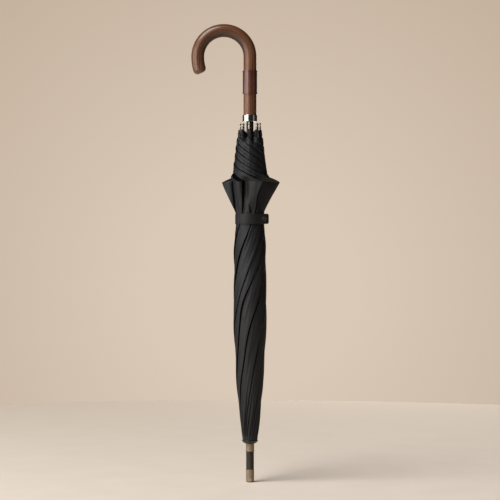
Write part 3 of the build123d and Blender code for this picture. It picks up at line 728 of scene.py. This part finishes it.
class Material:
    """A Principled material with short ways to add and link nodes."""

    def __init__(self, name, color, roughness, metallic=0.0, **constants):
        self.material = bpy.data.materials.new(name)
        self.material.use_nodes = True
        self.tree = self.material.node_tree
        self.shader = self.tree.nodes["Principled BSDF"]
        self.set(self.shader, "Base Color", color)
        self.set(self.shader, "Roughness", roughness)
        self.set(self.shader, "Metallic", metallic)
        for socket, value in constants.items():
            self.set(self.shader, socket.replace("_", " "), value)

    def set(self, node, socket, value):
        """Sets a socket to a number or colour, or links it."""
        if isinstance(value, bpy.types.NodeSocket):
            self.tree.links.new(value, node.inputs[socket])
        else:
            node.inputs[socket].default_value = value

    def node(self, kind, output=0, settings=None, **inputs):
        """Adds a node and returns one of its outputs. i0, i1 and so on are inputs by number."""
        node = self.tree.nodes.new("ShaderNode" + kind)
        for name, value in (settings or {}).items():
            setattr(node, name, value)
        for socket, value in inputs.items():
            numbered = socket[0] == "i" and socket[1:].isdigit()
            self.set(node, int(socket[1:]) if numbered else socket.replace("_", " "), value)
        return node.outputs[output]

    def place(self):
        return self.node("TexCoord", "Object")

    def cloth(self):
        return self.node("Attribute", "Vector", settings={"attribute_name": "cloth"})

    def scaled(self, vector, x, y, z):
        return self.node("Mapping", Vector=vector, Scale=(x, y, z))

    def noise(self, vector, scale, detail=3.0, roughness=0.5):
        return self.node("TexNoise", "Fac", Vector=vector, Scale=scale, Detail=detail, Roughness=roughness)

    def wave(self, vector, scale, direction, distortion=0.0):
        bands = {"wave_type": "BANDS", "bands_direction": direction}
        return self.node("TexWave", "Fac", settings=bands, Vector=vector, Scale=scale, Distortion=distortion)

    def math(self, operation, a, b=0.0, c=0.0):
        return self.node("Math", settings={"operation": operation}, i0=a, i1=b, i2=c)

    def remap(self, value, low, high, out_low, out_high):
        return self.node("MapRange", i0=value, i1=low, i2=high, i3=out_low, i4=out_high)

    def mix(self, factor, first, second):
        node = self.tree.nodes.new("ShaderNodeMix")
        node.data_type = "RGBA"
        for position, value in ((0, factor), (6, first), (7, second)):
            self.set(node, position, value)
        return node.outputs[2]

    def bump(self, height, strength, distance):
        normal = self.node("Bump", Height=height, Strength=strength, Distance=distance)
        self.set(self.shader, "Normal", normal)

    def use(self, socket, value):
        self.set(self.shader, socket, value)


WEAVE_SCALE = 1150.0
HANDLE_ROD_RADIUS = 12.75


def weave_material(name, dark, light, gloss=0.38):
    """Fine satin-faced cloth: warp and weft, a slight sheen and uneven fading."""
    m = Material(name, light, 0.58, Specular_IOR_Level=gloss, Sheen_Weight=0.03, Sheen_Roughness=0.4,
                 Sheen_Tint=srgb(140, 142, 146))
    cloth = m.cloth()
    weave = m.math("MULTIPLY", m.wave(cloth, WEAVE_SCALE, "X"), m.wave(cloth, WEAVE_SCALE, "Y"))
    drift = m.noise(m.scaled(cloth, 30, 9, 9), 1.0, 3.0)
    crinkle = m.noise(m.scaled(cloth, 260, 70, 70), 1.0, 4.0, 0.55)
    m.use("Base Color", m.mix(m.remap(drift, 0.35, 0.7, 0.0, 1.0), dark, light))
    m.use("Roughness", m.remap(crinkle, 0.3, 0.7, 0.52, 0.66))
    height = m.math("ADD", m.math("MULTIPLY", weave, 0.10), m.math("MULTIPLY", crinkle, 0.55))
    m.bump(height, 0.45, 0.0006)
    return m.material


def handle_coordinates_and_shade(m):
    """Across and along the bent handle, so that its grain runs round the crook, and how
    far a place is towards the inside of the bend, where painted shade darkens it."""
    low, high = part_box("crook_handle")
    rod = HANDLE_ROD_RADIUS * MM
    bend = (high.x - low.x) / 2 - rod
    centre_z = high.z - rod - bend
    x, y, z = m.node("SeparateXYZ", Vector=m.place()).node.outputs
    side = m.math("ADD", x, bend)
    rise = m.math("SUBTRACT", z, centre_z)
    above = m.math("MAXIMUM", rise, 0.0)
    below = m.math("MINIMUM", rise, 0.0)
    angle = m.math("ARCTAN2", above, side)
    squares = m.math("ADD", m.math("MULTIPLY", side, side), m.math("MULTIPLY", above, above))
    reach = m.math("SQRT", squares)
    across = m.math("SUBTRACT", reach, bend)
    nose = m.math("LESS_THAN", side, 0.0)
    direction = m.math("SUBTRACT", 1.0, m.math("MULTIPLY", nose, 2.0))
    along = m.math("ADD", m.math("MULTIPLY", angle, bend), m.math("MULTIPLY", below, direction))
    bent = m.math("MINIMUM", m.math("DIVIDE", above, bend * 0.6), 1.0)
    inside = m.math("MULTIPLY", m.remap(across, 0.002, -rod, 0.0, 1.0), bent)
    return m.node("CombineXYZ", X=across, Y=y, Z=along), inside


def wood_material():
    """Stained and varnished wood with streaks along the bent rod, and painted shade inside the bend."""
    m = Material("varnished_wood", srgb(112, 72, 48), 0.34, Coat_Weight=0.3, Coat_Roughness=0.2,
                 Specular_IOR_Level=0.38)
    where, inside = handle_coordinates_and_shade(m)
    sway = m.noise(m.scaled(where, 26, 26, 9), 1.0, 3.0)
    grain = m.node("TexNoise", "Fac", Vector=m.scaled(where, 420, 420, 13), Scale=1.0, Detail=6.0,
                   Roughness=0.62, Distortion=0.6)
    rings = m.wave(m.scaled(where, 1, 1, 0.10), 62.0, "X", 5.5)
    fine = m.noise(m.scaled(where, 1500, 1500, 30), 1.0, 4.0, 0.6)
    streak = m.math("ADD", m.math("MULTIPLY", grain, 0.5), m.math("MULTIPLY", rings, 0.12))
    streak = m.math("ADD", streak, m.math("MULTIPLY", fine, 0.38))
    light = m.mix(m.remap(sway, 0.3, 0.7, 0.0, 1.0), srgb(112, 73, 48), srgb(134, 90, 61))
    grained = m.mix(m.remap(streak, 0.34, 0.62, 0.0, 1.0), srgb(78, 47, 30), light)
    # Painted shade: the inside of the bend is darkened almost to black, standing in for the shade under the
    # arch.
    m.use("Base Color", m.mix(m.math("MULTIPLY", inside, 0.9), grained, srgb(34, 19, 10)))
    polish = m.remap(sway, 0.3, 0.7, 0.32, 0.37)
    m.use("Roughness", m.math("ADD", polish, m.math("MULTIPLY", inside, 0.3)))
    m.bump(grain, 0.02, 0.0002)
    return m.material


def leather_material():
    """Polished leather with small cells, pores and worn places."""
    m = Material("band_leather", srgb(112, 58, 40), 0.42, Specular_IOR_Level=0.5, Coat_Weight=0.9,
                 Coat_Roughness=0.17)
    where = m.place()
    to_edge = {"feature": "DISTANCE_TO_EDGE"}
    cells = m.node("TexVoronoi", "Distance", settings=to_edge, Vector=where, Scale=900.0)
    pores = m.noise(where, 2600.0, 3.0)
    wear = m.noise(m.scaled(where, 60, 60, 24), 1.0, 4.0, 0.6)
    m.use("Base Color", m.mix(m.remap(wear, 0.35, 0.7, 0.0, 1.0), srgb(68, 30, 16), srgb(106, 54, 34)))
    m.use("Roughness", m.remap(wear, 0.3, 0.7, 0.36, 0.52))
    height = m.math("ADD", m.remap(cells, 0.0, 0.22, 0.0, 1.0), m.math("MULTIPLY", pores, 0.5))
    m.bump(height, 0.14, 0.0003)
    return m.material


def metal_material(name, color, roughness, stain=None, amount=0.0, scale=900.0, stretch=(1, 1, 1),
                   bump=0.0, metallic=1.0):
    """A metal with uneven polish. stain mottles its colour, stretch draws the marks out."""
    m = Material(name, color, roughness, metallic)
    marks = m.noise(m.scaled(m.place(), *stretch), scale, 4.0, 0.6)
    if stain:
        m.use("Base Color", m.mix(m.remap(marks, 0.42, 0.66, 0.0, amount), color, stain))
    m.use("Roughness", m.remap(marks, 0.3, 0.7, roughness * 0.75, min(roughness * 1.45, 1.0)))
    if bump:
        m.bump(marks, bump, 0.0003)
    return m.material


def plastic_material(name, color, roughness):
    """Moulded or painted surfaces: a fine grain over slow changes of tone."""
    m = Material(name, color, roughness, Specular_IOR_Level=0.5)
    grain = m.noise(m.place(), 1400.0, 3.0)
    clouds = m.noise(m.place(), 60.0, 3.0)
    darker = tuple(c * 0.6 for c in color[:3]) + (1.0,)
    m.use("Base Color", m.mix(m.remap(clouds, 0.3, 0.7, 0.0, 1.0), darker, color))
    m.use("Roughness", m.remap(grain, 0.3, 0.7, roughness * 0.85, roughness * 1.15))
    m.bump(grain, 0.12, 0.0003)
    return m.material


def dark_wood_material():
    """The long dark sleeve of the ferrule, with grain that runs along it."""
    m = Material("ferrule_dark_wood", srgb(52, 40, 32), 0.55, Specular_IOR_Level=0.35)
    where = m.scaled(m.place(), 900, 900, 22)
    fibre = m.noise(where, 1.0, 4.0, 0.6)
    m.use("Base Color", m.mix(m.remap(fibre, 0.42, 0.68, 0.0, 1.0), srgb(32, 25, 19), srgb(62, 50, 40)))
    m.use("Roughness", m.remap(fibre, 0.3, 0.7, 0.5, 0.66))
    m.bump(fibre, 0.3, 0.0004)
    return m.material


canopy_cloth = weave_material("canopy_weave", srgb(13, 13, 15), srgb(20, 20, 22))
# Painted shade: a darker, duller copy of the canopy cloth for the inside of the open tube.
canopy_painted_shade = weave_material("canopy_painted_shade_inside", srgb(7, 7, 8), srgb(10, 10, 11), gloss=0.05)
strap_cloth = weave_material("strap_weave", srgb(14, 14, 16), srgb(24, 24, 26))
thread = plastic_material("black_thread", srgb(40, 39, 41), 0.6)
leather_thread = plastic_material("brown_thread", srgb(74, 40, 28), 0.55)
handle_wood = wood_material()
band_leather = leather_material()
chrome = metal_material("collar_chrome", srgb(200, 198, 194), 0.16)
shaft_steel = metal_material("shaft_dark_nickel", srgb(62, 60, 58), 0.2, stretch=(1, 1, 0.05))
enamel = plastic_material("rib_black_enamel", srgb(44, 43, 45), 0.3)
nickel = metal_material("tip_nickel", srgb(190, 180, 165), 0.28, srgb(120, 106, 88), 0.5)
wire_steel = metal_material("wire_steel", srgb(185, 185, 182), 0.3)
runner_plastic = plastic_material("runner_black", srgb(34, 34, 35), 0.42)
spring_steel = metal_material("spring_steel", srgb(176, 176, 178), 0.25, stretch=(1, 1, 0.1))
cap_black = plastic_material("cap_gloss_black", srgb(20, 20, 21), 0.22)
brass = metal_material("aged_brass", srgb(140, 123, 101), 0.6, srgb(108, 92, 73), 0.45, 700.0, bump=0.12,
                       metallic=0.4)
ferrule_wood = dark_wood_material()
rivet_brass = metal_material("rivet_brass", srgb(214, 190, 150), 0.2, srgb(150, 124, 90), 0.4)
snap_metal = plastic_material("snap_dark_enamel", srgb(60, 56, 50), 0.36)

NODE_MATERIALS = {
    "crook_handle": handle_wood, "handle_sleeve": band_leather, "handle_collar": chrome,
    "shaft_tube": shaft_steel, "notch": runner_plastic, "notch_wire": wire_steel,
    "runner_stop_pin": spring_steel, "canopy_cap": cap_black, "canopy_crown": canopy_cloth,
    "ferrule_collar": brass, "ferrule_sleeve": ferrule_wood, "ferrule_tip": brass,
    "ferrule_pin": rivet_brass, "top_catch": spring_steel, "bottom_catch": spring_steel,
    "runner": runner_plastic, "runner_wire": wire_steel, "tie_strap": strap_cloth,
    "strap_flap": strap_cloth, "strap_button": snap_metal,
}
for rib_number in range(1, RIBS + 1):
    NODE_MATERIALS[f"rib_{rib_number}"] = enamel
    NODE_MATERIALS[f"rib_tip_{rib_number}"] = nickel
    NODE_MATERIALS[f"stretcher_{rib_number}"] = enamel
    NODE_MATERIALS[f"canopy_panel_{rib_number}"] = canopy_cloth
    NODE_MATERIALS[f"gore_corner_{rib_number}"] = canopy_cloth


def paint(obj, material):
    """Gives the whole object one material."""
    obj.data.materials.clear()
    obj.data.materials.append(material)


for node_name, node_material in NODE_MATERIALS.items():
    paint(nodes[node_name], node_material)

for gore in range(RIBS):
    rolled = rolled_gore(gore)
    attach(rolled, "shaft")
    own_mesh(rolled)
    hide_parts(f"canopy_panel_{gore + 1}")
    spread = spread_gore(gore)
    paint(spread, canopy_cloth)
    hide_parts(f"gore_corner_{gore + 1}")

    threads = tip_threads(gore)
    paint(threads, thread)
    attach(threads, f"rib_{gore + 1}")

crown = crown_cloth()
paint(crown, canopy_cloth)
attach(crown, "shaft")
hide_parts("canopy_crown")

STITCH_INSET = 1.6
STITCH_HEIGHTS = (STRAP_BOTTOM + STITCH_INSET, STRAP_TOP - STITCH_INSET)
STITCH_LIFT = STRAP_THICKNESS * 0.66
BAND_STITCH_INSET = 3.6


def hang_strap(obj, body, material):
    """A piece of the strap gets its material and its own mesh, and goes with its body."""
    paint(obj, material)
    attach(obj, body)
    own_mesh(obj)


strap = webbing("strap_band", strap_path, STRAP_LENGTH)
hang_strap(strap, "rib_1", strap_cloth)
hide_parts("tie_strap")
strap_stitching = stitch_rows("strap_stitches", strap_path, STRAP_LENGTH, STITCH_HEIGHTS, STITCH_LIFT)
hang_strap(strap_stitching, "rib_1", thread)

flap = webbing("strap_end", flap_path, FLAP_LENGTH, round_end=3.0)
hang_strap(flap, "strap_flap", strap_cloth)
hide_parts("strap_flap")
flap_stitching = stitch_rows("strap_end_stitches", flap_path, FLAP_LENGTH - 2, STITCH_HEIGHTS, STITCH_LIFT)
hang_strap(flap_stitching, "strap_flap", thread)
button = snap_button()
hang_strap(button, "strap_flap", snap_metal)
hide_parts("strap_button")

LEATHER_RADIUS = 14.2
leather_low, leather_high = (corner.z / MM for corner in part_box("handle_sleeve"))
band_stitching = stitch_rows("band_stitches", band_path(LEATHER_RADIUS), 2 * math.pi * LEATHER_RADIUS + 2.6,
                             (leather_low + BAND_STITCH_INSET, leather_high - BAND_STITCH_INSET),
                             lift=0.02, pitch=2.4, stitch=1.6, thickness=0.18)
paint(band_stitching, leather_thread)
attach(band_stitching, "shaft")

# ---------------------------------------------------------------- stage, lights and camera
FLOOR_RADIUS = 1.8
FLOOR_POINTS = 96
CAMERA_HEIGHT = 0.456
CAMERA_DISTANCE = 3.3
CAMERA_LENS = 120.9
CAMERA_SENSOR = 36.0
AIM = (0, 0, 0.5)
# Name, place, width and height in metres, and watts
AREA_LIGHTS = [
    ("key_soft", (-1.65, -1.55, 0.8), (1.3, 1.9), 28),
    ("side_soft", (-2.2, -0.2, 0.8), (1.2, 1.8), 14),
    ("fill_strip", (1.9, -1.0, 0.7), (0.5, 1.4), 1.05),
    ("back_soft", (0.5, 2.4, 0.6), (1.2, 1.4), 7),
]
# The wall's painted light, brightest in the middle, in the directions that the world is seen in
GLOW_LOWERED = 0.022
GLOW_INNER, GLOW_OUTER = 0.06, 0.23


def stage_floor():
    """A round floor of pale paper, with painted shade that makes it a little darker towards the back."""
    turns = np.linspace(0, 360, FLOOR_POINTS, endpoint=False)
    ring = [(*polar(FLOOR_RADIUS, turn), 0.0) for turn in turns]
    floor = new_object("studio_floor", ring, [tuple(range(FLOOR_POINTS))], smooth=False)
    m = Material("studio_paper", srgb(230, 215, 199), 0.85, Specular_IOR_Level=0.1)
    fibre = m.noise(m.place(), 9.0, 4.0, 0.5)
    near = m.mix(m.remap(fibre, 0.3, 0.7, 0.0, 1.0), srgb(226, 212, 197), srgb(231, 217, 202))
    # Painted shade: the paper darkens towards the back of the floor.
    depth = m.node("SeparateXYZ", 1, Vector=m.place())
    m.use("Base Color", m.mix(m.remap(depth, -0.1, FLOOR_RADIUS, 0.0, 1.0), near, srgb(217, 201, 183)))
    paint(floor, m.material)


def area_light(name, place, size, power):
    """A soft white panel that faces the umbrella."""
    data = bpy.data.lights.new(name, "AREA")
    data.energy = power
    data.shape = "RECTANGLE"
    data.size, data.size_y = size
    light = bpy.data.objects.new(name, data)
    bpy.context.scene.collection.objects.link(light)
    light.location = place
    direction = np.array(AIM) - np.array(place)
    yaw = math.atan2(direction[1], direction[0]) - math.pi / 2
    pitch = math.atan2(direction[2], math.hypot(direction[0], direction[1]))
    light.rotation_euler = (pitch + math.pi / 2, 0, yaw)


def studio_world():
    """A beige wall all round for the camera, with painted light that makes it brightest in
    the middle, and a dim room for the light and the reflections."""
    world = bpy.data.worlds.new("studio")
    bpy.context.scene.world = world
    world.use_nodes = True
    tree = world.node_tree
    tree.nodes.clear()

    def new(kind, operation=None):
        node = tree.nodes.new("ShaderNode" + kind)
        if operation:
            node.operation = operation
        return node

    direction = new("TexCoord").outputs["Generated"]
    parts = new("SeparateXYZ")
    tree.links.new(direction, parts.inputs[0])
    lifted = new("Math", "ADD")
    lifted.inputs[1].default_value = GLOW_LOWERED
    tree.links.new(parts.outputs[2], lifted.inputs[0])
    sideways = new("Math", "MULTIPLY")
    rise = new("Math", "MULTIPLY_ADD")
    away = new("Math", "SQRT")
    for position in (0, 1):
        tree.links.new(parts.outputs[0], sideways.inputs[position])
        tree.links.new(lifted.outputs[0], rise.inputs[position])
    tree.links.new(sideways.outputs[0], rise.inputs[2])
    tree.links.new(rise.outputs[0], away.inputs[0])
    falloff = new("MapRange")
    for position, value in ((1, GLOW_INNER), (2, GLOW_OUTER), (3, 0.0), (4, 1.0)):
        falloff.inputs[position].default_value = value
    tree.links.new(away.outputs[0], falloff.inputs[0])
    wall = new("Mix")
    wall.data_type = "RGBA"
    wall.inputs[6].default_value = srgb(218, 201, 183)
    wall.inputs[7].default_value = srgb(195, 177, 157)
    tree.links.new(falloff.outputs[0], wall.inputs[0])

    seen = new("Background")
    tree.links.new(wall.outputs[2], seen.inputs["Color"])
    lit = new("Background")
    lit.inputs["Color"].default_value = srgb(200, 190, 180)
    lit.inputs["Strength"].default_value = 0.04
    path = new("LightPath")
    mix = new("MixShader")
    output = new("OutputWorld")
    tree.links.new(path.outputs["Is Camera Ray"], mix.inputs[0])
    tree.links.new(lit.outputs[0], mix.inputs[1])
    tree.links.new(seen.outputs[0], mix.inputs[2])
    tree.links.new(mix.outputs[0], output.inputs["Surface"])


def sun_light(strength, angle, tilt, azimuth):
    """A broad even light from high up. azimuth is where it comes from."""
    data = bpy.data.lights.new("high_soft", "SUN")
    data.energy = strength
    data.angle = math.radians(angle)
    data.specular_factor = 0.2
    light = bpy.data.objects.new("high_soft", data)
    bpy.context.scene.collection.objects.link(light)
    light.rotation_euler = (math.radians(tilt), 0, math.radians(azimuth + 90))


stage_floor()
studio_world()
sun_light(strength=2.8, angle=40, tilt=38, azimuth=-140)
for area_name, area_place, area_size, area_power in AREA_LIGHTS:
    area_light(area_name, area_place, area_size, area_power)

camera_data = bpy.data.cameras.new("camera")
camera_data.lens = CAMERA_LENS
camera_data.sensor_width = CAMERA_SENSOR
camera = bpy.data.objects.new("camera", camera_data)
bpy.context.scene.collection.objects.link(camera)
camera.location = (0.0, -CAMERA_DISTANCE, CAMERA_HEIGHT)
camera.rotation_euler = (math.pi / 2, 0, 0)
bpy.context.scene.camera = camera
bpy.context.scene.view_settings.view_transform = "Standard"
